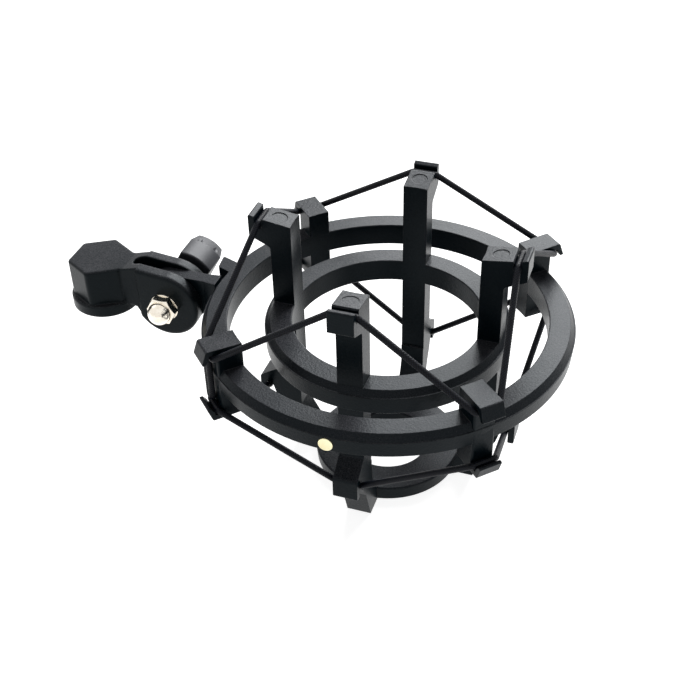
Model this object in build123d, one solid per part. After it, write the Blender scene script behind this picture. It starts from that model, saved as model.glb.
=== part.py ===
from build123d import *
import os
from math import asin, atan2, cos, degrees, hypot, radians, sin, sqrt, tan

# Microphone shock mount: a round cradle hung inside an outer ring by two elastic
# loops, with a swivelling stand adaptor clamped to an arm of the ring.
# Millimetres, +Z up. The cradle's axis is the Z axis and its base is at z = 0.
# The arm and its adaptor point along -X, the marker dot and the cap nut face -Y.

os.makedirs("parts", exist_ok=True)

# Clearances shared by all pieces
running_clearance = 0.08
fixed_clearance = 0.05

# Outer ring
ring_outer_radius = 62.5
ring_width = 8.8
ring_top = 62.6
ring_height = 8.2
ring_bevel_inset = 1.9
ring_bevel_drop = 2.4
ring_lip_step = 0.3
ring_wall_draft = 0.5
ring_corner_cut = 0.25

# Elastic loops
elastic_diameter = 2.2
elastic_clearance = 0.1
elastic_roof_gap = 0.45
elastic_lip_gap = 0.25

# Hooks on the outer ring, alike above and below their middle
hook_angles = (45, 135, 225, 315)
hook_half_width = 3.9
hook_middle_drop = 4.95
hook_half_height = 14.0
hook_top_fall = 0.4
hook_roof_thickness = 1.9
hook_face_inset = 0.2
hook_shoulder_step = 0.85
hook_tip_step = 2.6
hook_lip_thickness = 1.3
hook_lip_depth = 4.9
hook_lip_bevel = 1.7
hook_edge_round = 0.8

# Link where the two elastic loops cross over, on one hook
link_angle = 225
link_offset = -1.6
link_strand_gap = 0.15

# Marker dot on the front of the ring
marker_radius = 2.35
marker_drop = 5.2
marker_depth = 1.5
marker_proud = 0.35
marker_dome = 0.3

# Cradle ring
cradle_bore_radius = 32.05
cradle_width = 9.35
cradle_top = 61.4
cradle_height = 8.2
cradle_bevel_inset = 2.1
cradle_bevel_drop = 2.0
cradle_lip_step = 0.4
cradle_wall_draft = 0.2

# Posts of the cradle and the heads on them
post_angles = (0, 90, 180, 270)
post_half_width = 4.24
post_depth = 7.25
post_top = 93.6
post_edge_round = 0.7
head_fall = 1.5
head_reach = 2.7
head_slot_depth = 2.95
head_slot_bevel = 0.5
head_lip_thickness = 2.2
head_lip_inner_rise = 0.5
head_lip_outer_rise = 1.2
head_lip_drop = 6.9
head_corbel_drop = 10.3
ejector_radius = 2.65
ejector_depth = 0.2
ejector_reach = 4.95

# Feet of the posts and the legs below them
foot_slot_height = 24.25
foot_corbel_rise = 7.55
foot_lip_rise = 2.75
foot_lip_drop = 5.15
foot_chin_drop = 5.85
foot_reach = 2.8
foot_chin_reach = 1.1
leg_knee_reach = 5.75
leg_knee_height = 13.6
leg_toe_width = 7.0
leg_inner_top = 17.0
leg_inner_knee_reach = 1.95
leg_inner_knee_height = 13.4
leg_heel_height = 3.8

# Base ring
base_outer_radius = 26.0
base_hole_radius = 14.4
base_height = 5.2
base_draft = 0.4
base_corner_cut = 0.5

# Arm on the ring: a tongue for the pivot, and a guard beside the knob
ear_radius = 12.4
ear_ring_gap = 5.5
tongue_end_radius = 10.5
tongue_half_width = 2.35
tongue_root_half_width = 2.95
tongue_root_inset = 0.5
tongue_taper_gap = 1.4
guard_inner_y = 7.9
guard_width = 6.6
guard_reach = 2.7
guard_end_skew = 0.8
guard_lean = 22
guard_end_round = 0.6

# Swivel body: a fork on the tongue, a neck and a six-sided socket for a stand thread
ear_thickness = 4.45
ear_edge_round = 1.2
ear_step_reach = 10.1
slot_end_reach = 14.0
slot_wall = 4.3
neck_half_width = 5.5
neck_rise = 13.4
neck_drop = 3.5
neck_ramp_gap = 0.9
socket_rise = 11.7
socket_wall = 1.35
socket_corner_round = 1.8
socket_top_round = 0.9
collar_width = 3.45
collar_top_drop = 2.2
collar_bottom_drop = 6.8
collar_corner_cut = 0.4

# Brass insert that carries the stand thread
thread_wall_radius = 7.95
thread_depth = 13.2
thread_lead_in = 0.4
insert_wall = 1.0
insert_length = 14.2
insert_groove_depth = 0.35
insert_groove_width = 1.6

# Pivot stud, cap nut, washers and friction discs
stud_radius = 2.4
stud_knob_reach = 13.0
stud_end_gap = 0.3
stud_end_cut = 0.4
disc_width = 5.6
disc_thickness = 0.75
disc_proud = 0.05
nut_wall = 2.35
nut_hex_height = 3.2
nut_hex_chamfer = 0.5
nut_dome_wall = 1.8
nut_dome_rise = 0.5
nut_thread_depth = 5.0
nut_washer_width = 2.8
nut_washer_thickness = 0.6
knob_washer_width = 6.0
knob_washer_thickness = 1.5

# Clamp knob: a bar with gripping grooves at both ends
knob_gap = 0.1
knob_angle = 61
knob_boss_radius = 7.0
knob_boss_length = 1.8
knob_bar_radius = 11.8
knob_bar_half_width = 6.3
knob_bar_length = 9.2
knob_head_length = 6.0
knob_head_inset = 1.6
knob_edge_round = 0.6
knob_end_round = 1.4
knob_groove_angle = 16.5
knob_groove_radius = 1.3
knob_groove_depth = 0.75
knob_insert_wall = 1.4
knob_insert_length = 11.5

# Places that follow from the sizes above
ring_bore_radius = ring_outer_radius - ring_width
ring_bottom = ring_top - ring_height
hook_middle = ring_top - hook_middle_drop
hook_face_radius = ring_outer_radius - hook_face_inset
hook_lip_inner_radius = hook_face_radius + elastic_diameter + elastic_lip_gap
hook_slot_top = hook_half_height - hook_roof_thickness
cradle_outer_radius = cradle_bore_radius + cradle_width
cradle_bottom = cradle_top - cradle_height
elastic_radius = elastic_diameter / 2
elastic_lift = elastic_radius + elastic_clearance
elastic_slot_width = elastic_diameter + 2 * elastic_clearance
post_inner_radius = cradle_bore_radius - 0.8
post_outer_radius = cradle_bore_radius + post_depth
head_slot_inner_radius = post_outer_radius + head_reach
head_slot_outer_radius = head_slot_inner_radius + elastic_slot_width
head_lip_radius = head_slot_outer_radius + head_lip_thickness
head_slot_floor = post_top - head_slot_depth
foot_slot_inner_radius = post_outer_radius + foot_reach
foot_slot_outer_radius = foot_slot_inner_radius + elastic_slot_width
foot_lip_radius = foot_slot_outer_radius + head_lip_thickness
pivot_x = -(ring_outer_radius + ear_ring_gap + ear_radius)
pivot_z = ring_top - tongue_end_radius
pivot_axis = Axis((pivot_x, 0, pivot_z), (0, 1, 0))
slot_half_width = tongue_half_width + 2 * fixed_clearance
ear_face_y = slot_half_width + ear_thickness
ear_step_x = pivot_x - ear_step_reach
slot_end_x = pivot_x - slot_end_reach
insert_radius = thread_wall_radius + insert_wall
socket_x = slot_end_x - slot_wall - insert_radius - fixed_clearance
socket_half_flats = insert_radius + socket_wall
socket_top = pivot_z + socket_rise
collar_bottom = pivot_z - collar_bottom_drop
collar_top = pivot_z - collar_top_drop
disc_radius = stud_radius + disc_width
disc_face_y = slot_half_width - disc_proud
nut_face_y = -ear_face_y - nut_washer_thickness
nut_bore_end_y = nut_face_y - nut_thread_depth
knob_face_y = ear_face_y + knob_washer_thickness + knob_gap
stud_end_y = knob_face_y + stud_knob_reach


def outline(corners):
    """A closed face in the XZ plane from (x, z, corner round) triples."""
    points = [(x, 0, z) for x, z, _ in corners]
    rounds = [corner_round for _, _, corner_round in corners]
    return make_face(FilletPolyline(points, radius=rounds, close=True))


def cut_outline(corners):
    """A closed face in the XZ plane from (x, z, cut) triples, each corner sharp or cut off."""
    points = []
    for index, (x, z, cut) in enumerate(corners):
        corner = Vector(x, 0, z)
        if cut == 0:
            points.append(corner)
            continue
        for other_x, other_z, _ in (corners[index - 1], corners[(index + 1) % len(corners)]):
            side = Vector(other_x, 0, other_z) - corner
            points.append(corner + side.normalized() * cut)
    return make_face(Polyline(points, close=True))


def radial_prism(corners, half_width):
    """A radius-height outline thickened sideways."""
    return extrude(outline(corners), half_width, (0, 1, 0), both=True)


def turned_on_z(corners):
    return revolve(cut_outline(corners), Axis.Z)


def turned_on_pivot(corners):
    """Corners are (radius, y, cut) about the pivot axis."""
    turned = turned_on_z([(radius, y, cut) for radius, y, cut in corners])
    return Plane(origin=(pivot_x, 0, pivot_z), x_dir=(1, 0, 0), z_dir=(0, 1, 0)) * turned


def pivot_disc(radius, y_from, y_to):
    return turned_on_pivot([(0, y_from, 0), (radius, y_from, 0), (radius, y_to, 0), (0, y_to, 0)])


def cylinder_on_z(radius, z_from, z_to, x=0):
    return Pos(x, 0, (z_from + z_to) / 2) * Cylinder(radius, z_to - z_from)


# ---- Outer ring with hooks, tongue and guard ----
ring = turned_on_z([
    (ring_bore_radius, ring_bottom, ring_corner_cut),
    (ring_bore_radius, ring_top, ring_corner_cut),
    (ring_outer_radius - ring_bevel_inset, ring_top, 0),
    (ring_outer_radius - ring_lip_step, ring_top - ring_bevel_drop, 0),
    (ring_outer_radius, ring_top - ring_bevel_drop, 0),
    (ring_outer_radius - ring_wall_draft, ring_bottom, ring_corner_cut),
])

hook_tip_radius = hook_lip_inner_radius + hook_tip_step
hook_half = [
    (hook_face_radius, hook_slot_top, 0),
    (hook_lip_inner_radius, hook_slot_top, 0.4),
    (hook_lip_inner_radius, hook_half_height - hook_lip_depth + hook_lip_bevel, 0.4),
    (hook_tip_radius - hook_lip_thickness, hook_half_height - hook_lip_depth, 0.3),
    (hook_tip_radius, hook_half_height - hook_lip_depth, 0.4),
    (hook_lip_inner_radius + hook_shoulder_step, hook_half_height, 0.8),
    (ring_bore_radius - 1.0, hook_half_height - hook_top_fall, 0),
]
hook_upper = [(r, hook_middle + h, c) for r, h, c in hook_half]
hook_lower = [(r, hook_middle - h, c) for r, h, c in reversed(hook_half)]


def hook():
    """A column across the ring with a lip at each end, rounded where the elastic bends round it."""
    prism = radial_prism(hook_upper + hook_lower, hook_half_width)
    column_edges = [
        edge for edge in prism.edges().filter_by(Axis.Z)
        if abs(edge.center().X - hook_face_radius) < 0.01
    ]
    return fillet(column_edges, hook_edge_round)


def tongue():
    """A blade wrapped round the pivot, thick at the ring and straight inside the fork."""
    root_x = tongue_root_inset - ring_outer_radius
    straight_x = pivot_x + ear_radius + tongue_taper_gap
    nose_x = pivot_x - tongue_end_radius
    rise = ring_bottom - pivot_z
    reach = root_x - pivot_x
    lean = asin(tongue_end_radius / hypot(rise, reach)) + atan2(rise, reach)
    touch_x = pivot_x + tongue_end_radius * sin(lean)
    touch_z = pivot_z - tongue_end_radius * cos(lean)
    side = make_face([
        Line((root_x, 0, ring_top), (pivot_x, 0, ring_top)),
        ThreePointArc((pivot_x, 0, ring_top), (nose_x, 0, pivot_z), (touch_x, 0, touch_z)),
        Line((touch_x, 0, touch_z), (root_x, 0, ring_bottom)),
        Line((root_x, 0, ring_bottom), (root_x, 0, ring_top)),
    ])
    plan_half = [
        (root_x, tongue_root_half_width),
        (straight_x, tongue_half_width),
        (nose_x, tongue_half_width),
    ]
    plan = make_face(Polyline(plan_half + [(x, -y) for x, y in reversed(plan_half)], close=True))
    blade = extrude(side, tongue_root_half_width, (0, 1, 0), both=True)
    blade = blade & extrude(plan, ring_top + 1.0)
    return blade - pivot_disc(stud_radius + running_clearance, -ear_face_y, ear_face_y)


def guard():
    """A leaning lug beside the arm that keeps the knob off the ring."""
    end_x = -ring_outer_radius - guard_reach
    outer_y = guard_inner_y + guard_width
    root_x = -sqrt(ring_bore_radius ** 2 - outer_y ** 2) - 2.0
    fall = tan(radians(guard_lean))
    plan = Polyline(
        (end_x, guard_inner_y),
        (root_x, guard_inner_y - fall * (root_x - end_x)),
        (root_x, outer_y - fall * (root_x - end_x)),
        (end_x - guard_end_skew, outer_y),
        close=True,
    )
    block = Pos(0, 0, ring_bottom) * extrude(make_face(plan), ring_height)
    end_edges = [edge for edge in block.edges().filter_by(Axis.Z) if edge.center().X < end_x + 0.01]
    return fillet(end_edges, guard_end_round)


outer_ring = ring + guard() + tongue()
for hook_angle in hook_angles:
    outer_ring += Rot(0, 0, hook_angle) * hook()
outer_ring -= cylinder_on_z(ring_bore_radius, 0, 2 * ring_top)

marker_seat = Pos(0, marker_depth - ring_outer_radius, ring_top - marker_drop) * Rot(90, 0, 0)
marker_base = (Align.CENTER, Align.CENTER, Align.MIN)
outer_ring -= marker_seat * Cylinder(
    marker_radius + fixed_clearance, 2 * marker_depth, align=marker_base
)
marker_dot = marker_seat * Cylinder(marker_radius, marker_depth + marker_proud, align=marker_base)
marker_dot = fillet(marker_dot.edges().sort_by(Axis.Y)[0], marker_dome)


# ---- Cradle: ring, four posts with heads and feet, and the base ring ----
cradle_ring = turned_on_z([
    (cradle_bore_radius, cradle_bottom, ring_corner_cut),
    (cradle_bore_radius, cradle_top, ring_corner_cut),
    (cradle_outer_radius - cradle_bevel_inset, cradle_top, 0),
    (cradle_outer_radius - cradle_lip_step, cradle_top - cradle_bevel_drop, 0),
    (cradle_outer_radius, cradle_top - cradle_bevel_drop, 0),
    (cradle_outer_radius - cradle_wall_draft, cradle_bottom, ring_corner_cut),
])
post_corners = [
    (post_inner_radius, post_top - head_fall, 0.4),
    (head_slot_inner_radius - head_slot_bevel, post_top, 0.3),
    (head_slot_inner_radius, post_top - head_slot_bevel, 0.3),
    (head_slot_inner_radius, head_slot_floor, 0),
    (head_slot_outer_radius, head_slot_floor, 0),
    (head_slot_outer_radius, post_top + head_lip_inner_rise, 0.4),
    (head_lip_radius, post_top + head_lip_outer_rise, 0.6),
    (head_lip_radius, post_top - head_lip_drop, 1.2),
    (post_outer_radius, post_top - head_corbel_drop, 1.5),
    (post_outer_radius, foot_slot_height + foot_corbel_rise, 1.5),
    (foot_lip_radius, foot_slot_height + foot_lip_rise, 1.2),
    (foot_lip_radius, foot_slot_height - foot_lip_drop, 0.6),
    (foot_slot_outer_radius, foot_slot_height - foot_lip_drop, 0.4),
    (foot_slot_outer_radius, foot_slot_height, 0),
    (foot_slot_inner_radius, foot_slot_height, 0),
    (post_outer_radius + foot_chin_reach, foot_slot_height - foot_chin_drop, 0.6),
    (cradle_bore_radius + leg_knee_reach, leg_knee_height, 2.0),
    (base_outer_radius + leg_toe_width, 0, 0),
    (base_outer_radius - 3.0, 0, 0),
    (base_outer_radius - 1.0, leg_heel_height, 0),
    (cradle_bore_radius - leg_inner_knee_reach, leg_inner_knee_height, 2.0),
    (post_inner_radius, leg_inner_top, 1.0),
]


def post():
    """One post in its own radius-height frame, with the elastic's seats rounded at both sides."""
    prism = radial_prism(post_corners, post_half_width)
    seat_edges = [
        edge for edge in prism.edges().filter_by(Axis.X)
        if min(abs(edge.center().Z - head_slot_floor), abs(edge.center().Z - foot_slot_height)) < 0.01
    ]
    prism = fillet(seat_edges, post_edge_round)
    top_slope = atan2(head_fall, head_slot_inner_radius - head_slot_bevel - post_inner_radius)
    mark_radius = cradle_bore_radius + ejector_reach
    mark_height = post_top - (head_slot_inner_radius - head_slot_bevel - mark_radius) * tan(top_slope)
    mark = Pos(mark_radius, 0, mark_height) * Rot(0, -degrees(top_slope), 0) * Cylinder(
        ejector_radius, 2 * ejector_depth
    )
    return prism - mark


cradle = cradle_ring
for post_angle in post_angles:
    cradle += Rot(0, 0, post_angle) * post()
cradle -= cylinder_on_z(cradle_bore_radius, leg_inner_top + 7.0, post_top + 2.0)
cradle += turned_on_z([
    (base_hole_radius, 0, 0),
    (base_hole_radius, base_height, base_corner_cut),
    (base_outer_radius, base_height, base_corner_cut),
    (base_outer_radius - base_draft, 0, 0),
])


# ---- Elastic loops and their link ----
def elastic_loop(post_radius, post_height, hook_height):
    """A cord in straight runs, bent round both sides of each post and each hook."""
    bend = post_edge_round + elastic_lift
    hook_radius = hook_face_radius + elastic_lift
    hook_bend = hook_edge_round + elastic_lift
    run_x = hook_radius * cos(radians(45)) - post_radius
    run_y = hook_radius * sin(radians(45))
    plan_turn = radians(45) + atan2(run_x, run_y)
    slope = atan2(abs(post_height - hook_height), hypot(run_x, run_y))
    post_side = post_half_width - post_edge_round + bend * tan(slope / 2)
    hook_side = hook_half_width - hook_edge_round + hook_bend * tan(plan_turn / 2)
    points = []
    bends = []
    for post_angle, hook_angle in zip(post_angles, hook_angles):
        for radius, height, side, angle, turn_radius in (
            (post_radius, post_height, post_side, post_angle, bend),
            (hook_radius, hook_height, hook_side, hook_angle, hook_bend),
        ):
            for offset in (-side, side):
                corner = Rot(0, 0, angle) * Pos(radius, offset, height)
                points.append(corner.position)
                bends.append(turn_radius)
    path = FilletPolyline(points, radius=bends, close=True)
    section = Plane(origin=path @ 0, z_dir=path % 0) * Circle(elastic_radius)
    return sweep(section, path=path), path.length


def roof_drop(seat_height, roof_height):
    """From a hook's roof to the cord under it, with a gap that grows with the square of the cord's climb."""
    climb = abs(seat_height - roof_height) / (hook_face_radius * sin(radians(45)))
    return elastic_radius + max(elastic_roof_gap, elastic_clearance + elastic_radius * climb ** 2)


upper_seat_height = head_slot_floor + elastic_lift
lower_seat_height = foot_slot_height - elastic_lift
upper_roof_height = hook_middle + hook_slot_top
lower_roof_height = hook_middle - hook_slot_top
upper_hook_height = upper_roof_height - roof_drop(upper_seat_height, upper_roof_height)
lower_hook_height = lower_roof_height + roof_drop(lower_seat_height, lower_roof_height)
upper_elastic, upper_length = elastic_loop(
    head_slot_inner_radius + elastic_slot_width / 2, upper_seat_height, upper_hook_height
)
lower_elastic, lower_length = elastic_loop(
    foot_slot_inner_radius + elastic_slot_width / 2, lower_seat_height, lower_hook_height
)
print("elastic loops", round(upper_length, 1), round(lower_length, 1), "mm long")


def elastic_link():
    """A closed band of two upright strands between the loops, over the ring's wall."""
    apart = elastic_radius + link_strand_gap / 2
    radius = ring_outer_radius + elastic_lift
    top = upper_hook_height - 2 * elastic_lift
    bottom = lower_hook_height + 2 * elastic_lift
    corners = [(-apart, bottom), (apart, bottom), (apart, top), (-apart, top)]
    path = FilletPolyline([(radius, t, z) for t, z in corners], radius=apart * 0.98, close=True)
    section = Plane(origin=path @ 0, z_dir=path % 0) * Circle(elastic_radius)
    return Rot(0, 0, link_angle) * Pos(0, link_offset, 0) * sweep(section, path=path)


# ---- Swivel body and its thread insert ----
ear_low_z = pivot_z - sqrt(ear_radius ** 2 - ear_step_reach ** 2)


def ear_outline():
    """Round about the pivot, square at the neck, in the XZ plane."""
    top = (pivot_x, 0, pivot_z + ear_radius)
    bottom = (pivot_x, 0, pivot_z - ear_radius)
    low_bend = (-ear_radius * sin(radians(25)), 0, -ear_radius * cos(radians(25)))
    low_middle = (pivot_x + low_bend[0], 0, pivot_z + low_bend[2])
    return make_face([
        ThreePointArc(top, (pivot_x + ear_radius, 0, pivot_z), bottom),
        ThreePointArc(bottom, low_middle, (ear_step_x, 0, ear_low_z)),
        Line((ear_step_x, 0, ear_low_z), (ear_step_x, 0, pivot_z + neck_rise)),
        Line((ear_step_x, 0, pivot_z + neck_rise), top),
    ])


def fork():
    """Both ears in one, rounded along the outer edges of their faces."""
    blank = extrude(ear_outline(), ear_face_y, (0, 1, 0), both=True)
    face_edges = [
        edge for edge in blank.edges()
        if abs(abs(edge.center().Y) - ear_face_y) < 0.01 and edge.center().X > ear_step_x + 0.01
    ]
    return fillet(face_edges, ear_edge_round)


def neck():
    """The bridge from the fork to the socket, ramped up to the ears."""
    ramp_x = socket_x + socket_half_flats + neck_ramp_gap
    return radial_prism([
        (pivot_x, pivot_z + ear_radius - 1.0, 0),
        (ear_step_x, pivot_z + neck_rise, 0.6),
        (ramp_x, socket_top, 0.6),
        (socket_x, socket_top, 0),
        (socket_x, collar_top, 0),
        (ear_step_x - 2.0, pivot_z - neck_drop, 1.0),
        (ear_step_x, ear_low_z, 0),
        (pivot_x, ear_low_z, 0),
    ], neck_half_width)


def socket():
    """Six-sided above and round at the collar, one corner to each side."""
    hexagon = fillet(RegularPolygon(socket_half_flats, 6, major_radius=False, rotation=30).vertices(),
                     socket_corner_round)
    tower = Pos(socket_x, 0, collar_top) * extrude(hexagon, socket_top - collar_top)
    tower = fillet(tower.edges().group_by(Axis.Z)[-1], socket_top_round)
    collar_radius = insert_radius + collar_width
    collar = Pos(socket_x, 0, 0) * turned_on_z([
        (0, collar_bottom, 0),
        (collar_radius, collar_bottom, collar_corner_cut),
        (collar_radius, collar_top, collar_corner_cut),
        (0, collar_top, 0),
    ])
    return tower + collar


def fork_slot():
    """The tongue's slot, round at its closed end."""
    length = slot_end_reach + ear_radius + 1.0
    slot = Pos(slot_end_x + length / 2, 0, pivot_z) * Box(length, 2 * slot_half_width, 4 * ear_radius)
    end_edges = [edge for edge in slot.edges().filter_by(Axis.Z) if edge.center().X < ear_step_x]
    return fillet(end_edges, slot_half_width - fixed_clearance)


def swivel():
    """Fork, neck and socket, slotted for the tongue and bored for the discs, stud and insert."""
    disc_floor = disc_face_y + disc_thickness
    body = fork() + neck() + socket() - fork_slot()
    body -= pivot_disc(disc_radius + fixed_clearance, -disc_floor, disc_floor)
    body -= pivot_disc(stud_radius + fixed_clearance, -2 * ear_face_y, 2 * ear_face_y)
    return body - cylinder_on_z(
        insert_radius + fixed_clearance, collar_bottom - 1.0, collar_bottom + insert_length, socket_x
    )


def thread_insert():
    """A brass bush, grooved outside and bored from below for the stand's thread."""
    top = collar_bottom + insert_length - fixed_clearance
    groove_top = (top + collar_bottom + insert_groove_width) / 2
    groove_radius = insert_radius - insert_groove_depth
    return Pos(socket_x, 0, 0) * turned_on_z([
        (thread_wall_radius + thread_lead_in, collar_bottom, 0),
        (insert_radius, collar_bottom, 0),
        (insert_radius, groove_top - insert_groove_width, 0),
        (groove_radius, groove_top - insert_groove_width, 0),
        (groove_radius, groove_top, 0),
        (insert_radius, groove_top, 0),
        (insert_radius, top, 0.3),
        (0, top, 0),
        (0, collar_bottom + thread_depth, 0),
        (thread_wall_radius, collar_bottom + thread_depth, 0),
        (thread_wall_radius, collar_bottom + thread_lead_in, 0),
    ])


# ---- Pivot stud, cap nut, washers and friction discs ----
def washer_on_pivot(outer_radius, y_from, y_to):
    hole_radius = stud_radius + 2 * fixed_clearance
    return turned_on_pivot([
        (hole_radius, y_from, 0),
        (outer_radius, y_from, 0),
        (outer_radius, y_to, 0),
        (hole_radius, y_to, 0),
    ])


pivot_stud = turned_on_pivot([
    (0, nut_bore_end_y + stud_end_gap, 0),
    (stud_radius, nut_bore_end_y + stud_end_gap, stud_end_cut),
    (stud_radius, stud_end_y, stud_end_cut),
    (0, stud_end_y, 0),
])


def nut():
    """A six-sided cap nut with a flat upward, chamfered and domed."""
    half_flats = stud_radius + nut_wall
    corner_radius = half_flats / cos(radians(30))
    end_y = nut_face_y - nut_hex_height
    hexagon = Plane(origin=(pivot_x, nut_face_y, pivot_z), x_dir=(1, 0, 0), z_dir=(0, -1, 0)) * (
        RegularPolygon(half_flats, 6, major_radius=False)
    )
    crown = turned_on_pivot([
        (0, end_y, 0),
        (half_flats - nut_hex_chamfer / 2, end_y, 0),
        (corner_radius, end_y + nut_hex_chamfer, 0),
        (corner_radius, nut_face_y, 0),
        (0, nut_face_y, 0),
    ])
    dome_radius = stud_radius + nut_dome_wall
    dome = Pos(pivot_x, end_y - nut_dome_rise, pivot_z) * Sphere(dome_radius)
    throat = pivot_disc(dome_radius, end_y - nut_dome_rise, nut_face_y)
    bore = pivot_disc(stud_radius + fixed_clearance, nut_bore_end_y, nut_face_y + 1.0)
    return (extrude(hexagon, nut_hex_height) & crown) + throat + dome - bore


# ---- Clamp knob and its insert ----
def knob():
    """A bar across the stud, grooved at both ends and tapered outward, on a round boss."""
    bar_y = knob_face_y + knob_boss_length
    shoulder_y = bar_y + knob_bar_length
    end_y = shoulder_y + knob_head_length
    turned = revolve(outline([
        (0, bar_y, 0),
        (knob_bar_radius, bar_y, knob_edge_round),
        (knob_bar_radius, shoulder_y, 0),
        (knob_bar_radius - knob_head_inset, end_y, knob_end_round),
        (0, end_y, 0),
    ]), Axis.Z)
    half_plan = [
        (knob_bar_half_width, bar_y, 0),
        (knob_bar_half_width, shoulder_y, 0),
        (knob_bar_half_width - knob_head_inset, end_y, 0),
    ]
    plan = outline(half_plan + [(-x, y, c) for x, y, c in reversed(half_plan)])
    bar = turned & Rot(0, 0, 90) * extrude(plan, knob_bar_radius, (0, 1, 0), both=True)
    corner_edges = [
        edge for edge in bar.edges().filter_by(Axis.Z)
        if edge.length > knob_bar_length / 2
    ]
    bar = fillet(corner_edges, knob_edge_round)
    groove_offset = knob_bar_radius - knob_groove_depth + knob_groove_radius
    for side_angle in (0, 180):
        for groove_angle in (-knob_groove_angle, knob_groove_angle):
            bar -= Rot(0, 0, side_angle + groove_angle) * Pos(groove_offset, 0, 0) * Cylinder(
                knob_groove_radius, 2 * end_y
            ) & Pos(0, 0, shoulder_y) * Box(
                4 * knob_bar_radius, 4 * knob_bar_radius, 2 * end_y,
                align=(Align.CENTER, Align.CENTER, Align.MIN)
            )
    body = bar + cylinder_on_z(knob_boss_radius, knob_face_y, bar_y)
    frame = Plane(
        origin=(pivot_x, 0, pivot_z),
        x_dir=(cos(radians(knob_angle)), 0, sin(radians(knob_angle))),
        z_dir=(0, 1, 0),
    )
    insert_hole_radius = stud_radius + knob_insert_wall + fixed_clearance
    body = frame * body - pivot_disc(
        insert_hole_radius, knob_face_y - 1.0, knob_face_y + knob_insert_length
    )
    return body - pivot_disc(stud_radius + 0.4, knob_face_y, stud_end_y + 0.5)


insert_bore = stud_radius + running_clearance
knob_insert_radius = stud_radius + knob_insert_wall
knob_insert_end = knob_face_y + knob_insert_length - fixed_clearance
knob_insert = turned_on_pivot([
    (insert_bore, knob_face_y, 0),
    (knob_insert_radius, knob_face_y, 0.2),
    (knob_insert_radius, knob_insert_end, 0.2),
    (insert_bore, knob_insert_end, 0),
])

nodes = {
    "outer_ring": outer_ring,
    "front_marker_dot": marker_dot,
    "cradle": cradle,
    "upper_elastic": upper_elastic,
    "lower_elastic": lower_elastic,
    "elastic_link": elastic_link(),
    "swivel_body": swivel(),
    "stand_thread_insert": thread_insert(),
    "near_friction_disc": washer_on_pivot(disc_radius, -disc_face_y - disc_thickness, -disc_face_y),
    "far_friction_disc": washer_on_pivot(disc_radius, disc_face_y, disc_face_y + disc_thickness),
    "pivot_stud": pivot_stud,
    "cap_nut": nut(),
    "cap_nut_washer": washer_on_pivot(stud_radius + nut_washer_width, nut_face_y, -ear_face_y),
    "knob_washer": washer_on_pivot(
        stud_radius + knob_washer_width, ear_face_y, ear_face_y + knob_washer_thickness
    ),
    "clamp_knob": knob(),
    "knob_insert": knob_insert,
}
for node, shape in nodes.items():
    export_step(shape, f"parts/{node}.step")
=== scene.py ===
import math
import bpy
import numpy as np
from mathutils import Matrix, Vector


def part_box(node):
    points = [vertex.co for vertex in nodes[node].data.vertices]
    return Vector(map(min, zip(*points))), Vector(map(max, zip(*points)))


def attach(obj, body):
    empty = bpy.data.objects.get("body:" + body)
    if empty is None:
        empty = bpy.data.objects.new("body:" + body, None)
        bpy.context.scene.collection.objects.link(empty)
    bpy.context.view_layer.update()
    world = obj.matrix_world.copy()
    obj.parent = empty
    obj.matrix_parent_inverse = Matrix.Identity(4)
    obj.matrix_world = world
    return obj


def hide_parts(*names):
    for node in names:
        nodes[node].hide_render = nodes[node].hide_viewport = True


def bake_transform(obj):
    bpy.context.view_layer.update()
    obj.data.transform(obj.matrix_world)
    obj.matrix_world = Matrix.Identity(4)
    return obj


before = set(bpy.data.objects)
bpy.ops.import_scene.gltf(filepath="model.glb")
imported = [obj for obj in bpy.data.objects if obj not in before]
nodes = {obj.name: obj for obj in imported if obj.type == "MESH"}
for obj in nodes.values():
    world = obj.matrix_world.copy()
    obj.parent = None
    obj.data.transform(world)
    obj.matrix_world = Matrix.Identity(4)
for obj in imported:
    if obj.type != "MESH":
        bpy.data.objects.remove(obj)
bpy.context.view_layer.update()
mm = 0.001
print("frame loaded:", len(nodes), "nodes")

# shader groups shared by the materials

def startGroup(name, inputs, outputs):
    # inputs are (name, value) pairs and outputs (name, socket type) pairs
    group = bpy.data.node_groups.new(name, "ShaderNodeTree")
    for label, value in inputs:
        socket = group.interface.new_socket(label, in_out="INPUT", socket_type="NodeSocketFloat")
        socket.default_value = value
    for label, kind in outputs:
        group.interface.new_socket(label, in_out="OUTPUT", socket_type=kind)
    return group, group.nodes.new("NodeGroupInput"), group.nodes.new("NodeGroupOutput")


def addNode(tree, kind, links=None, **values):
    # a value goes to the node's own setting if it has one, else to the input of that name;
    # links gives the outputs that feed its inputs, by input name or number
    node = tree.nodes.new(kind)
    for key, value in values.items():
        if hasattr(node, key):
            setattr(node, key, value)
        else:
            node.inputs[key.replace("_", " ")].default_value = value
    for key, output in (links or {}).items():
        tree.links.new(output, node.inputs[key])
    return node


def combine(tree, operation, first, second):
    node = tree.nodes.new("ShaderNodeMath")
    node.operation = operation
    for slot, value in enumerate((first, second)):
        if isinstance(value, (int, float)):
            node.inputs[slot].default_value = value
        else:
            tree.links.new(value, node.inputs[slot])
    return node.outputs[0]


cellShare = 0.55  # the scale of the grain's cells, as a share of its fine noise's scale
noiseRange = (0.3, 0.7)  # where most of a noise texture's values lie


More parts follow.
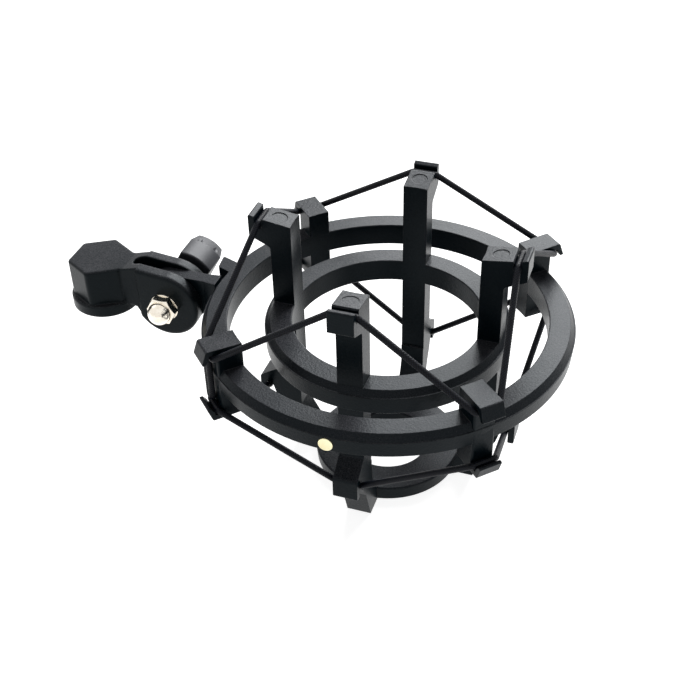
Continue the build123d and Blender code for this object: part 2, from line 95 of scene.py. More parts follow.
def makeMouldGrain():
    # spark-eroded mould grain: fine noise plus small cells gives the height, slow noise drifts the tone
    group, inlet, outlet = startGroup(
        "mouldGrain", [("Grain Size", 2600.0), ("Drift Size", 60.0)],
        [("Height", "NodeSocketFloat"), ("Speckle", "NodeSocketFloat"), ("Drift", "NodeSocketFloat")],
    )
    place = group.nodes.new("ShaderNodeTexCoord").outputs["Object"]
    size = inlet.outputs["Grain Size"]
    fine = addNode(group, "ShaderNodeTexNoise", {"Vector": place, "Scale": size}, Detail=3.0, Roughness=0.6)
    cellScale = combine(group, "MULTIPLY", size, cellShare)
    cells = addNode(group, "ShaderNodeTexVoronoi", {"Vector": place, "Scale": cellScale})
    slow = addNode(
        group, "ShaderNodeTexNoise", {"Vector": place, "Scale": inlet.outputs["Drift Size"]},
        Detail=5.0, Roughness=0.6,
    )
    height = combine(group, "ADD", fine.outputs["Fac"], cells.outputs["Distance"])
    group.links.new(height, outlet.inputs["Height"])
    group.links.new(fine.outputs["Fac"], outlet.inputs["Speckle"])
    group.links.new(slow.outputs["Fac"], outlet.inputs["Drift"])
    return group


edgeRange = {"flat": 0.995, "sharp": 0.86, "patchLow": 0.35, "patchHigh": 0.7}


def makeSoftEdge():
    # rounds the normal near edges, and marks them: the mask is one minus how well the round
    # normal agrees with the flat one, broken up by noise so that the edge mark is uneven; on the metals the
    # mark is rubbing wear, on the plastics it is partly wear and partly a painted edge highlight
    group, inlet, outlet = startGroup(
        "softEdge", [("Radius", 0.0003), ("Patch Size", 260.0)],
        [("Normal", "NodeSocketVector"), ("Edge", "NodeSocketFloat")],
    )
    bevel = addNode(group, "ShaderNodeBevel", {"Radius": inlet.outputs["Radius"]}, samples=6)
    flat = group.nodes.new("ShaderNodeNewGeometry")
    agree = addNode(
        group, "ShaderNodeVectorMath", {0: bevel.outputs["Normal"], 1: flat.outputs["Normal"]},
        operation="DOT_PRODUCT",
    )
    mask = addNode(
        group, "ShaderNodeMapRange", {"Value": agree.outputs["Value"]},
        clamp=True, From_Min=edgeRange["flat"], From_Max=edgeRange["sharp"],
    )
    place = group.nodes.new("ShaderNodeTexCoord").outputs["Object"]
    patches = addNode(
        group, "ShaderNodeTexNoise", {"Vector": place, "Scale": inlet.outputs["Patch Size"]},
        Detail=4.0, Roughness=0.65,
    )
    uneven = addNode(
        group, "ShaderNodeMapRange", {"Value": patches.outputs["Fac"]},
        clamp=True, From_Min=edgeRange["patchLow"], From_Max=edgeRange["patchHigh"],
    )
    edgeMark = combine(group, "MULTIPLY", mask.outputs["Result"], uneven.outputs["Result"])
    group.links.new(bevel.outputs["Normal"], outlet.inputs["Normal"])
    group.links.new(edgeMark, outlet.inputs["Edge"])
    return group


dustAndSheenRange = {"slope": 0.2, "speckEdge": 0.16, "speckCore": 0.05}


def makeDustAndSheen():
    # settled dust and fingering, plus a painted sheen: upward faces are lightened, partly by dust and partly
    # as painted top light, in soft patches with a few bright specks
    group, inlet, outlet = startGroup(
        "settledDustAndSheen", [("Patch Size", 45.0), ("Speck Size", 900.0)], [("DustAndSheen", "NodeSocketFloat")],
    )
    place = group.nodes.new("ShaderNodeTexCoord").outputs["Object"]
    normal = group.nodes.new("ShaderNodeNewGeometry").outputs["Normal"]
    upward = addNode(group, "ShaderNodeSeparateXYZ", {0: normal}).outputs["Z"]
    facing = addNode(group, "ShaderNodeMapRange", {"Value": upward}, clamp=True, From_Min=dustAndSheenRange["slope"])
    patches = addNode(
        group, "ShaderNodeTexNoise", {"Vector": place, "Scale": inlet.outputs["Patch Size"]}, Detail=6.0,
    )
    specks = addNode(group, "ShaderNodeTexVoronoi", {"Vector": place, "Scale": inlet.outputs["Speck Size"]})
    dots = addNode(
        group, "ShaderNodeMapRange", {"Value": specks.outputs["Distance"]},
        clamp=True, From_Min=dustAndSheenRange["speckEdge"], From_Max=dustAndSheenRange["speckCore"],
    )
    soft = combine(group, "ADD", patches.outputs["Fac"], dots.outputs["Result"])
    group.links.new(combine(group, "MULTIPLY", facing.outputs["Result"], soft), outlet.inputs["DustAndSheen"])
    return group


mouldGrain = makeMouldGrain()
softEdge = makeSoftEdge()
settledDustAndSheen = makeDustAndSheen()


def placeGroup(tree, group, **values):
    return addNode(tree, "ShaderNodeGroup", node_tree=group, **values)


def newMaterial(name):
    material = bpy.data.materials.new(name)
    material.use_nodes = True
    tree = material.node_tree
    tree.nodes.clear()
    output = tree.nodes.new("ShaderNodeOutputMaterial")
    shader = tree.nodes.new("ShaderNodeBsdfPrincipled")
    tree.links.new(shader.outputs["BSDF"], output.inputs["Surface"])
    return material, tree, shader


def mixColour(tree, factor, first, second):
    node = tree.nodes.new("ShaderNodeMix")
    node.data_type = "RGBA"
    for slot, value in zip(("Factor_Float", "A_Color", "B_Color"), (factor, first, second)):
        socket = next(s for s in node.inputs if s.identifier == slot)
        if isinstance(value, tuple):
            socket.default_value = (*value, 1)
        elif isinstance(value, (int, float)):
            socket.default_value = value
        else:
            tree.links.new(value, socket)
    return next(s for s in node.outputs if s.identifier == "Result_Color")


def rescale(tree, value, low, high, fromLow=0.0, fromHigh=1.0):
    node = addNode(
        tree, "ShaderNodeMapRange", {"Value": value},
        clamp=True, From_Min=fromLow, From_Max=fromHigh, To_Min=low, To_Max=high,
    )
    return node.outputs["Result"]


# moulded plastics
plasticSheen = {"smoother": 0.05, "rougher": 0.08, "speckleRange": (0.25, 0.75)}


def mouldedPlastic(name, look):
    material, tree, shader = newMaterial(name)
    grain = placeGroup(tree, mouldGrain, Grain_Size=look["grainSize"], Drift_Size=look["driftSize"])
    edges = placeGroup(tree, softEdge, Radius=look["edgeRadius"])
    dustAndSheen = placeGroup(tree, settledDustAndSheen)
    edge = edges.outputs["Edge"]
    speckle = grain.outputs["Speckle"]
    drift = rescale(tree, grain.outputs["Drift"], 0.0, 1.0, *noiseRange)
    plain = mixColour(tree, drift, look["dark"], look["light"])
    # edges take the lighter edge mark tone: partly rubbing wear, partly a painted highlight along the edges
    rubbedAndHighlit = mixColour(tree, combine(tree, "MULTIPLY", edge, look["edgeMarkAmount"]), plain, look["edgeMark"])
    grainy = rescale(tree, speckle, 1 - look["speckle"], 1 + look["speckle"], *noiseRange)
    # the grey film on upward faces is partly dust, partly a painted sheen of the top light
    dustAndSheenFilm = combine(tree, "MULTIPLY", dustAndSheen.outputs["DustAndSheen"], look["dustAndSheen"])
    dustedAndSheened = mixColour(tree, combine(tree, "MULTIPLY", dustAndSheenFilm, grainy), rubbedAndHighlit, look["dustAndSheenTone"])
    tree.links.new(dustedAndSheened, shader.inputs["Base Color"])
    smoothest = look["roughness"] - plasticSheen["smoother"]
    roughest = look["roughness"] + plasticSheen["rougher"]
    speckled = rescale(tree, speckle, smoothest, roughest, *plasticSheen["speckleRange"])
    polished = combine(tree, "SUBTRACT", speckled, combine(tree, "MULTIPLY", edge, look["edgePolish"]))
    tree.links.new(polished, shader.inputs["Roughness"])
    bump = addNode(
        tree, "ShaderNodeBump", {"Height": grain.outputs["Height"], "Normal": edges.outputs["Normal"]},
        Strength=look["grainStrength"], Distance=look["grainDepth"],
    )
    tree.links.new(bump.outputs["Normal"], shader.inputs["Normal"])
    shader.inputs["Specular IOR Level"].default_value = look["specular"]
    shader.inputs["Specular Tint"].default_value = (*look["tint"], 1)
    return material


blackNylonLook = {
    "dark": (0.0010, 0.0042, 0.0070), "light": (0.0028, 0.0070, 0.0100),
    # the light edge mark is partly wear, partly a painted edge highlight
    "edgeMark": (0.15, 0.15, 0.16), "edgeMarkAmount": 0.7,
    # the grey film on upward faces is partly dust, partly a painted sheen
    "dustAndSheen": 0.28, "dustAndSheenTone": (0.2, 0.19, 0.21), "speckle": 0.9, "roughness": 0.31, "edgePolish": 0.06,
    "specular": 0.11, "tint": (0.85, 0.95, 1.0), "grainSize": 2300.0, "driftSize": 55.0,
    "grainDepth": 0.04 * mm, "grainStrength": 0.8, "edgeRadius": 0.35 * mm,
}
blackNylon = mouldedPlastic("blackNylon", blackNylonLook)
roundedNylon = mouldedPlastic("roundedNylon", {
    **blackNylonLook, "edgeRadius": 1.1 * mm,
    "dark": (0.0022, 0.0055, 0.0075), "light": (0.0048, 0.0085, 0.0105),
    "edgeMarkAmount": 0.15, "grainSize": 2300.0, "grainDepth": 0.035 * mm,
})

# the knob's grey base lightens what is black plastic, standing in for the bright light on it: painted light
paintedLitKnobLook = {
    "dark": (0.034, 0.036, 0.042), "light": (0.05, 0.052, 0.06), "edgeMark": (0.2, 0.2, 0.21), "edgeMarkAmount": 0.4,
    "dustAndSheen": 0.04, "dustAndSheenTone": (0.35, 0.35, 0.36), "speckle": 0.5, "roughness": 0.4, "edgePolish": 0.08,
    "specular": 0.3, "tint": (0.95, 0.97, 1.0), "grainSize": 3200.0, "driftSize": 90.0,
    "grainDepth": 0.02 * mm, "grainStrength": 0.4, "edgeRadius": 0.45 * mm,
}
paintedLitKnob = mouldedPlastic("paintedLitKnob", paintedLitKnobLook)

frictionFibreLook = {
    "dark": (0.05, 0.035, 0.028), "light": (0.09, 0.07, 0.055), "edgeMark": (0.14, 0.11, 0.09), "edgeMarkAmount": 0.5,
    "dustAndSheen": 0.05, "dustAndSheenTone": (0.3, 0.28, 0.25), "speckle": 0.5, "roughness": 0.8, "edgePolish": 0.1,
    "specular": 0.3, "tint": (1, 1, 1), "grainSize": 1500.0, "driftSize": 400.0,
    "grainDepth": 0.05 * mm, "grainStrength": 0.9, "edgeRadius": 0.1 * mm,
}
frictionFibre = mouldedPlastic("frictionFibre", frictionFibreLook)
print("plastics ready")

# metals

def finishedMetal(name, look):
    # turning marks are rings about the pivot or stand axis: bands of the distance from that axis
    material, tree, shader = newMaterial(name)
    place = tree.nodes.new("ShaderNodeTexCoord").outputs["Object"]
    centred = addNode(tree, "ShaderNodeMapping", {"Vector": place}, vector_type="TEXTURE")
    centred.inputs["Location"].default_value = look["axisPlace"]
    centred.inputs["Rotation"].default_value = look["axisTurn"]
    rings = addNode(
        tree, "ShaderNodeTexWave", {"Vector": centred.outputs["Vector"]}, wave_type="RINGS",
        rings_direction="Z", Scale=look["ringScale"], Distortion=1.2, Detail=3.0, Detail_Scale=2.0,
    )
    tarnish = addNode(
        tree, "ShaderNodeTexNoise", {"Vector": place},
        Scale=look["tarnishSize"], Detail=5.0, Roughness=0.6,
    )
    edges = placeGroup(tree, softEdge, Radius=look["edgeRadius"], Patch_Size=600.0)
    spread = rescale(tree, tarnish.outputs["Fac"], 0.0, 1.0, *look["toneRange"])
    tone = mixColour(tree, spread, look["dark"], look["light"])
    rubbing = combine(tree, "MULTIPLY", edges.outputs["Edge"], look["edgeMarkAmount"])
    bright = mixColour(tree, rubbing, tone, look["edgeMark"])
    tree.links.new(bright, shader.inputs["Base Color"])
    roughest = look["roughness"] + look["rougher"]
    rough = rescale(tree, tarnish.outputs["Fac"], look["roughness"], roughest, *look["roughRange"])
    tree.links.new(rough, shader.inputs["Roughness"])
    bump = addNode(
        tree, "ShaderNodeBump", {"Height": rings.outputs["Fac"], "Normal": edges.outputs["Normal"]},
        Strength=look["ringStrength"], Distance=look["ringDepth"],
    )
    tree.links.new(bump.outputs["Normal"], shader.inputs["Normal"])
    shader.inputs["Metallic"].default_value = 1.0
    return material


def middle(nodeName):
    low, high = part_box(nodeName)
    return (low + high) / 2


quarterTurn = math.pi / 2
pivotCentre = middle("pivot_stud")
standCentre = middle("stand_thread_insert")
dotCentre = middle("front_marker_dot")
onPivot = {"axisPlace": pivotCentre, "axisTurn": (quarterTurn, 0, 0)}
metalBase = {
    "ringScale": 900.0, "ringStrength": 0.12, "ringDepth": 0.01 * mm, "tarnishSize": 500.0,
    "edgeRadius": 0.15 * mm, "edgeMarkAmount": 0.3, "rougher": 0.1, "toneRange": (0.35, 0.7), "roughRange": (0.3, 0.75),
}
nickelPlate = finishedMetal("nickelPlate", {
    **metalBase, **onPivot,
    "dark": (0.86, 0.78, 0.66), "light": (0.98, 0.93, 0.83), "edgeMark": (1.0, 0.96, 0.88),
    "roughness": 0.16, "ringStrength": 0.02, "edgeRadius": 0.35 * mm,
})
paleBrass = finishedMetal("paleBrass", {
    **metalBase, "axisPlace": dotCentre, "axisTurn": (quarterTurn, 0, 0), "dark": (0.88, 0.8, 0.5),
    "light": (0.97, 0.92, 0.62), "edgeMark": (1.0, 0.96, 0.75), "roughness": 0.2,
})
threadBrass = finishedMetal("threadBrass", {
    **metalBase, "axisPlace": standCentre, "axisTurn": (0, 0, 0), "dark": (0.62, 0.48, 0.22),
    "light": (0.85, 0.7, 0.4), "edgeMark": (0.95, 0.82, 0.55), "roughness": 0.24,
})
zincSteel = finishedMetal("zincSteel", {
    **metalBase, **onPivot, "dark": (0.42, 0.42, 0.43), "light": (0.6, 0.6, 0.62), "edgeMark": (0.75, 0.75, 0.76),
    "roughness": 0.28,
})
# near-black metal for the knob washer, which fills the dark band under the knob
nearBlackMetal = finishedMetal("nearBlackMetal", {
    **metalBase, **onPivot,
    "dark": (0.03, 0.03, 0.033), "light": (0.06, 0.06, 0.065), "edgeMark": (0.35, 0.35, 0.36),
    "roughness": 0.36,
})
print("metals ready")

finishes = {
    "outer_ring": blackNylon, "cradle": blackNylon, "swivel_body": roundedNylon, "clamp_knob": paintedLitKnob,
    "cap_nut": nickelPlate, "cap_nut_washer": nickelPlate, "front_marker_dot": paleBrass,
    "stand_thread_insert": threadBrass, "knob_insert": threadBrass, "pivot_stud": zincSteel,
    "knob_washer": nearBlackMetal, "near_friction_disc": frictionFibre, "far_friction_disc": frictionFibre,
}
for nodeName, finish in finishes.items():
    mesh = nodes[nodeName].data
    mesh.materials.clear()
    mesh.materials.append(finish)
print("finishes set on", len(finishes), "nodes")

# mesh from a grid of points

def gridMesh(name, points, attributes=None):
    # points[row, column] is a surface of two parameters; each face takes four neighbours,
    # and in both directions the last line of points joins the first
    rows, columns = points.shape[:2]
    row = np.arange(rows)[:, None]
    column = np.arange(columns)[None, :]
    corners = [(row, column), (row, column + 1), (row + 1, column + 1), (row + 1, column)]
    corners = [np.broadcast_arrays(r, c) for r, c in corners]
    faces = np.stack([(r % rows) * columns + c % columns for r, c in corners], axis=-1).reshape(-1, 4)
    mesh = bpy.data.meshes.new(name)
    mesh.from_pydata(points.reshape(-1, 3).tolist(), [], faces.tolist())
    uv = np.stack([np.stack([c / columns, r / rows], axis=-1) for r, c in corners], axis=2)
    layer = mesh.uv_layers.new(name="surfaceGrid")
    layer.data.foreach_set("uv", uv.astype(np.float32).ravel())
    mesh.polygons.foreach_set("use_smooth", np.ones(len(faces), bool))
    for label, values in (attributes or {}).items():
        layer = mesh.attributes.new(label, "FLOAT", "POINT")
        layer.data.foreach_set("value", values.astype(np.float32).ravel())
    mesh.update()
    piece = bpy.data.objects.new(name, mesh)
    bpy.context.scene.collection.objects.link(piece)
    return piece


# braided elastic: sizes in millimetres, angles in degrees
elastic = {
    "diameter": 2.2, "strands": 7, "cellLength": 0.92, "rowsPerCell": 5, "columns": 35, "strandRelief": 0.17,
    "hookRadius": 63.5, "hookHalfWidth": 3.9, "hookRound": 0.8, "postHalfWidth": 4.24, "postRound": 0.7,
    "clearance": 0.1, "hookAngles": (45, 135, 225, 315), "postAngles": (0, 90, 180, 270),
    "upperPostRadius": 43.2, "lowerPostRadius": 43.3,
    "linkAngle": 225, "linkOffset": -1.6, "linkGap": 0.15, "linkStandOff": 0.2, "linkBendShare": 0.98,
    "stepsPerBend": 24, "cellShift": 0.125, "pillowLong": 0.5, "pillowWide": 0.25,
}
elasticRadius = elastic["diameter"] / 2
elasticLift = elasticRadius + elastic["clearance"]


def turnedAboutZ(radius, side, height, angle):
    turn = math.radians(angle)
    return (
        radius * math.cos(turn) - side * math.sin(turn),
        radius * math.sin(turn) + side * math.cos(turn),
        height,
    )


def loopCorners(postRadius, postHeight, hookHeight):
    # two corners at each post and two at each hook; the side distances let the bends hug their edges
    bend = elastic["postRound"] + elasticLift
    hookBend = elastic["hookRound"] + elasticLift
    between = math.radians(elastic["hookAngles"][0] - elastic["postAngles"][0])
    runX = elastic["hookRadius"] * math.cos(between) - postRadius
    runY = elastic["hookRadius"] * math.sin(between)
    planTurn = between + math.atan2(runX, runY)
    slope = math.atan2(abs(postHeight - hookHeight), math.hypot(runX, runY))
    postSide = elastic["postHalfWidth"] - elastic["postRound"] + bend * math.tan(slope / 2)
    hookSide = elastic["hookHalfWidth"] - elastic["hookRound"] + hookBend * math.tan(planTurn / 2)
    corners, bends = [], []
    for postAngle, hookAngle in zip(elastic["postAngles"], elastic["hookAngles"]):
        for side in (-postSide, postSide):
            corners.append(turnedAboutZ(postRadius, side, postHeight, postAngle))
            bends.append(bend)
        for side in (-hookSide, hookSide):
            corners.append(turnedAboutZ(elastic["hookRadius"], side, hookHeight, hookAngle))
            bends.append(hookBend)
    return np.array(corners), bends


def linkCorners(lowHeight, highHeight):
    # a narrow upright band outside the ring's wall
    apart = elasticRadius + elastic["linkGap"] / 2
    radius = elastic["hookRadius"] + elastic["linkStandOff"]
    middleSide = elastic["linkOffset"]
    band = ((-apart, lowHeight), (apart, lowHeight), (apart, highHeight), (-apart, highHeight))
    corners = [turnedAboutZ(radius, middleSide + side, height, elastic["linkAngle"]) for side, height in band]
    return np.array(corners), [apart * elastic["linkBendShare"]] * 4


def roundedRoute(corners, bends):
    # each corner becomes an arc that leaves both runs at a distance of bend times the tangent of half
    # the turn, and the closed line is then divided into even steps, a whole number of braid cells long
    pieces = []
    for index, (corner, bend) in enumerate(zip(corners, bends)):
        back = corners[index - 1] - corner
        ahead = corners[(index + 1) % len(corners)] - corner
        back /= np.linalg.norm(back)
        ahead /= np.linalg.norm(ahead)
        turn = math.pi - math.acos(float(np.clip(back @ ahead, -1, 1)))
        inward = (back + ahead) / np.linalg.norm(back + ahead)
        centre = corner + inward * bend / math.cos(turn / 2)
        side = ahead - inward * (ahead @ inward)
        side /= np.linalg.norm(side)
        sweep = np.linspace(-turn / 2, turn / 2, elastic["stepsPerBend"])[:, None]
        pieces.append(centre + bend * (np.sin(sweep) * side - np.cos(sweep) * inward))
    line = np.concatenate(pieces + [pieces[0][:1]])
    reach = np.concatenate([[0], np.cumsum(np.linalg.norm(np.diff(line, axis=0), axis=1))])
    cells = round(reach[-1] / elastic["cellLength"])
    steps = np.arange(cells * elastic["rowsPerCell"]) * reach[-1] / (cells * elastic["rowsPerCell"])
    return np.stack([np.interp(steps, reach, line[:, axis]) for axis in range(3)], axis=1), cells, reach[-1]


def braidedCord(name, corners, bends):
    # the tube's radius is lifted by a pillow on every braid cell. With a = around + along and
    # b = around - along in cells, a strand lies on top where the whole parts of a and b add to an even
    # number, and its pillow is long that way: root of sin(pi a) times fourth root of sin(pi b), and the
    # other way round in the other cells
    centres, cells, length = roundedRoute(corners, bends)
    rows, columns = len(centres), elastic["columns"]
    tangent = np.roll(centres, -1, axis=0) - np.roll(centres, 1, axis=0)
    tangent /= np.linalg.norm(tangent, axis=1, keepdims=True)
    outward = centres * (1, 1, 0)
    outward -= tangent * np.sum(outward * tangent, axis=1, keepdims=True)
    outward /= np.linalg.norm(outward, axis=1, keepdims=True)
    binormal = np.cross(tangent, outward)
    around = np.arange(columns)[None, :] / columns
    along = np.arange(rows)[:, None] / rows
    a = elastic["strands"] * around + cells * along + elastic["cellShift"]
    b = elastic["strands"] * around - cells * along + elastic["cellShift"]
    acrossA = np.abs(np.sin(np.pi * a))
    acrossB = np.abs(np.sin(np.pi * b))
    onTop = (np.floor(a) + np.floor(b)) % 2 == 0
    long, wide = elastic["pillowLong"], elastic["pillowWide"]
    crown = np.where(onTop, acrossA ** long * acrossB ** wide, acrossB ** long * acrossA ** wide)
    radius = elasticRadius - elastic["strandRelief"] * (1 - crown)
    angle = 2 * np.pi * around
    points = centres[:, None, :] + radius[..., None] * (
        np.cos(angle)[..., None] * outward[:, None, :] + np.sin(angle)[..., None] * binormal[:, None, :]
    )
    print(name, round(length, 1), "mm long,", cells, "braid cells")
    return gridMesh(name, points * mm, attributes={"crown": crown})


def makeYarn():
    # twisted filaments: fine slanted bands on the cord's own surface grid, in two directions that cross
    group, inlet, outlet = startGroup(
        "yarnTwist", [("Along", 620.0), ("Around", 8.0), ("Filaments", 9.0)],
        [("Filament", "NodeSocketFloat")],
    )
    uv = addNode(group, "ShaderNodeUVMap", uv_map="surfaceGrid").outputs["UV"]
    split = addNode(group, "ShaderNodeSeparateXYZ", {0: uv})
    around = combine(group, "MULTIPLY", split.outputs["X"], inlet.outputs["Around"])
    along = combine(group, "MULTIPLY", split.outputs["Y"], inlet.outputs["Along"])
    waves = []
    for operation in ("ADD", "SUBTRACT"):
        slant = combine(group, operation, around, along)
        turns = combine(group, "MULTIPLY", slant, inlet.outputs["Filaments"])
        waves.append(combine(group, "SINE", turns, 0.0))
    group.links.new(combine(group, "MAXIMUM", *waves), outlet.inputs["Filament"])
    return group


yarnTwist = makeYarn()


def braidedYarn(name, look):
    material, tree, shader = newMaterial(name)
    crown = addNode(tree, "ShaderNodeAttribute", attribute_name="crown").outputs["Fac"]
    yarn = placeGroup(tree, yarnTwist).outputs["Filament"]
    place = tree.nodes.new("ShaderNodeTexCoord").outputs["Object"]
    drift = addNode(tree, "ShaderNodeTexNoise", {"Vector": place}, Scale=look["driftSize"], Detail=4.0)
    spread = rescale(tree, drift.outputs["Fac"], 0.0, 1.0, *noiseRange)
    tone = mixColour(tree, spread, look["dark"], look["light"])
    # the braid's gaps between the crowns are painted near black: painted shade in the crevices
    gapShaded = mixColour(tree, rescale(tree, crown, 0.0, 1.0, look["gapTop"]), look["gap"], tone)
    tree.links.new(gapShaded, shader.inputs["Base Color"])
    rough = rescale(tree, yarn, look["roughness"], look["roughness"] + look["rougher"], -1.0)
    tree.links.new(rough, shader.inputs["Roughness"])
    bump = addNode(
        tree, "ShaderNodeBump", {"Height": yarn},
        Strength=look["filamentStrength"], Distance=look["filamentDepth"],
    )
    tree.links.new(bump.outputs["Normal"], shader.inputs["Normal"])
    shader.inputs["Specular IOR Level"].default_value = look["specular"]
    return material


blackBraidLook = {
    # the near-black gap colour is painted shade between the braid's crowns
    "dark": (0.010, 0.014, 0.025), "light": (0.020, 0.025, 0.040), "gap": (0.0002, 0.0003, 0.0006),
    "gapTop": 0.55, "driftSize": 300.0, "roughness": 0.30, "rougher": 0.15,
    "filamentDepth": 0.03 * mm, "filamentStrength": 0.5, "specular": 0.13,
}
blackBraid = braidedYarn("blackBraid", blackBraidLook)

upperLow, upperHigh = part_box("upper_elastic")
lowerLow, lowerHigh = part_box("lower_elastic")
linkLow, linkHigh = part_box("elastic_link")
heights = {
    "upperPost": upperHigh.z / mm - elasticRadius, "upperHook": upperLow.z / mm + elasticRadius,
    "lowerPost": lowerLow.z / mm + elasticRadius, "lowerHook": lowerHigh.z / mm - elasticRadius,
    "linkLow": linkLow.z / mm + elasticRadius, "linkHigh": linkHigh.z / mm - elasticRadius,
}
upperBraid = braidedCord(
    "upperBraid", *loopCorners(elastic["upperPostRadius"], heights["upperPost"], heights["upperHook"])
)
lowerBraid = braidedCord(
    "lowerBraid", *loopCorners(elastic["lowerPostRadius"], heights["lowerPost"], heights["lowerHook"])
)
linkBraid = braidedCord("linkBraid", *linkCorners(heights["linkLow"], heights["linkHigh"]))
for piece, replaced in (
    (upperBraid, "upper_elastic"), (lowerBraid, "lower_elastic"), (linkBraid, "elastic_link")
):
    piece.data.materials.append(blackBraid)
    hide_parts(replaced)
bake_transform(upperBraid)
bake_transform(lowerBraid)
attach(linkBraid, "ring")
print("elastic braided")

# thread inside the stand insert, in millimetres
standThread = {
    "pitch": 25.4 / 27, "majorRadius": 7.95, "depth": 0.52, "wall": 0.3, "length": 13.0,
    "stepsPerTurn": 10, "columns": 96, "runOut": 0.8, "inset": 0.15,
    "flankSlope": 1.25, "rootFlat": 0.1,
}


def insideThread(name, look, axisX, bottom):
    # the bore's radius falls by a saw of the height, cut flat at crest and root and shifted by one pitch
    # per turn, so that the ridge climbs as a helix; the outer wall and two ends close it into a sleeve
    steps = int(look["length"] / look["pitch"] * look["stepsPerTurn"])
    height = np.linspace(0, look["length"], steps)[:, None]
    angle = (2 * np.pi * np.arange(look["columns"]) / look["columns"])[None, :]
    phase = height / look["pitch"] - angle / (2 * np.pi)
    saw = 1 - np.abs(2 * (phase - np.floor(phase)) - 1)
    fade = np.clip(np.minimum(height, look["length"] - height) / look["runOut"], 0, 1)
    ridge = np.clip(look["flankSlope"] * saw - look["rootFlat"], 0, 1)
    inner = look["majorRadius"] - look["depth"] * fade * ridge
    outer = np.full((2, look["columns"]), look["majorRadius"] + look["wall"])
    radius = np.concatenate([inner, outer])
    outerLevel = np.broadcast_to([[look["length"]], [0]], outer.shape)
    level = np.concatenate([np.broadcast_to(height, inner.shape), outerLevel])
    points = np.stack([axisX + radius * np.cos(angle), radius * np.sin(angle), bottom + level], axis=-1)
    return gridMesh(name, points[::-1] * mm)


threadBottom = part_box("stand_thread_insert")[0].z / mm + standThread["inset"]
threadSleeve = insideThread("standThread", standThread, standCentre.x / mm, threadBottom)
threadSleeve.data.materials.append(threadBrass)
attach(threadSleeve, "adaptor")
print("stand thread cut")

# floor, light and camera
white = (1, 1, 1, 1)
studio = {
    "floorSize": 8.0, "floorDrop": 0.0002, "floorTone": 0.7, "floorShown": 0.88, "worldFill": 0.18,
    "softboxAzimuth": 2.0, "softboxElevation": 37.0, "softboxDistance": 1.05, "softboxSize": (0.72, 0.6),
    "softboxPower": 16.5, "lampAim": (0, 0, 0.05),
    "sideAzimuth": -70.0, "sideElevation": 30.0, "sideDistance": 1.1, "sideSize": (0.5, 0.7),
    "sidePower": 0.8,
}


def seenDirectly(tree):
    # one where the eye, a mirror reflection or glass looks at the surface, nought for soft light
    path = tree.nodes.new("ShaderNodeLightPath")
    seen = combine(tree, "MAXIMUM", path.outputs["Is Camera Ray"], path.outputs["Is Glossy Ray"])
    return combine(tree, "MAXIMUM", seen, path.outputs["Is Transmission Ray"])


def paleFloor(name):
    material, tree, shader = newMaterial(name)
    shader.inputs["Base Color"].default_value = (*[studio["floorTone"]] * 3, 1)
    shader.inputs["Roughness"].default_value = 1.0
    shader.inputs["Specular IOR Level"].default_value = 0.0
    shader.inputs["Emission Color"].default_value = white
    glow = combine(tree, "MULTIPLY", seenDirectly(tree), studio["floorShown"])
    tree.links.new(glow, shader.inputs["Emission Strength"])
    return material


half = studio["floorSize"] / 2
floorMesh = bpy.data.meshes.new("studioFloor")
floorCorners = [(-half, -half, 0), (half, -half, 0), (half, half, 0), (-half, half, 0)]
floorMesh.from_pydata(floorCorners, [], [(0, 1, 2, 3)])
floorMesh.materials.append(paleFloor("paleFloor"))
floor = bpy.data.objects.new("studioFloor", floorMesh)
bpy.context.scene.collection.objects.link(floor)
floor.location.z = -studio["floorDrop"]

world = bpy.data.worlds.new("studioWorld")
bpy.context.scene.world = world
world.use_nodes = True
worldTree = world.node_tree
background = worldTree.nodes["Background"]
background.inputs["Color"].default_value = white
shown = seenDirectly(worldTree)
shownExtra = combine(worldTree, "MULTIPLY", shown, 1 - studio["worldFill"])
strength = combine(worldTree, "ADD", shownExtra, studio["worldFill"])
worldTree.links.new(strength, background.inputs["Strength"])


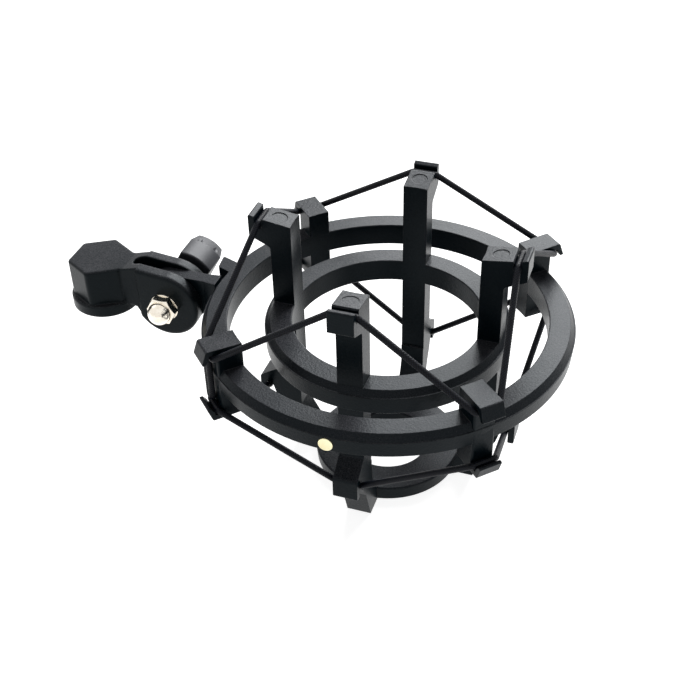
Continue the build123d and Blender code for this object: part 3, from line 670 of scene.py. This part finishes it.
def softbox(name, azimuth, elevation, distance, size, power):
    # azimuth is measured from +Y towards +X, and the lamp looks at the middle of the object
    light = bpy.data.lights.new(name, "AREA")
    light.shape = "RECTANGLE"
    light.energy = power
    light.size, light.size_y = size
    lamp = bpy.data.objects.new(name, light)
    bpy.context.scene.collection.objects.link(lamp)
    a, e = math.radians(azimuth), math.radians(elevation)
    away = Vector((math.sin(a) * math.cos(e), math.cos(a) * math.cos(e), math.sin(e)))
    lamp.location = Vector(studio["lampAim"]) + away * distance
    lamp.rotation_euler = away.to_track_quat("Z", "Y").to_euler()


softbox(
    "backSoftbox", studio["softboxAzimuth"], studio["softboxElevation"], studio["softboxDistance"],
    studio["softboxSize"], studio["softboxPower"],
)
softbox(
    "sideStrip", studio["sideAzimuth"], studio["sideElevation"], studio["sideDistance"],
    studio["sideSize"], studio["sidePower"],
)

cameraView = {
    "azimuth": 17.25, "elevation": 36.64, "distance": 0.3975, "aim": (0, 0, 0.0614),
    "turnLeft": 2.105, "tiltUp": -1.436, "lens": 61.905, "sensor": 36.0, "clipStart": 0.01,
}


def placeCamera(view):
    # looks at the aim point from its azimuth and elevation, and is then turned a little in its own axes
    camera = bpy.data.cameras.new("camera")
    camera.lens = view["lens"]
    camera.sensor_width = view["sensor"]
    camera.clip_start = view["clipStart"]
    body = bpy.data.objects.new("camera", camera)
    bpy.context.scene.collection.objects.link(body)
    a, e = math.radians(view["azimuth"]), math.radians(view["elevation"])
    away = Vector((math.sin(a) * math.cos(e), -math.cos(a) * math.cos(e), math.sin(e)))
    looking = (-away).to_track_quat("-Z", "Y").to_matrix()
    turn = Matrix.Rotation(math.radians(view["turnLeft"]), 3, "Y")
    tilt = Matrix.Rotation(math.radians(view["tiltUp"]), 3, "X")
    turned = (looking @ turn @ tilt).to_4x4()
    turned.translation = Vector(view["aim"]) + away * view["distance"]
    body.matrix_world = turned
    bpy.context.scene.camera = body


placeCamera(cameraView)
bpy.context.scene.view_settings.view_transform = "Standard"
print("studio and camera ready")
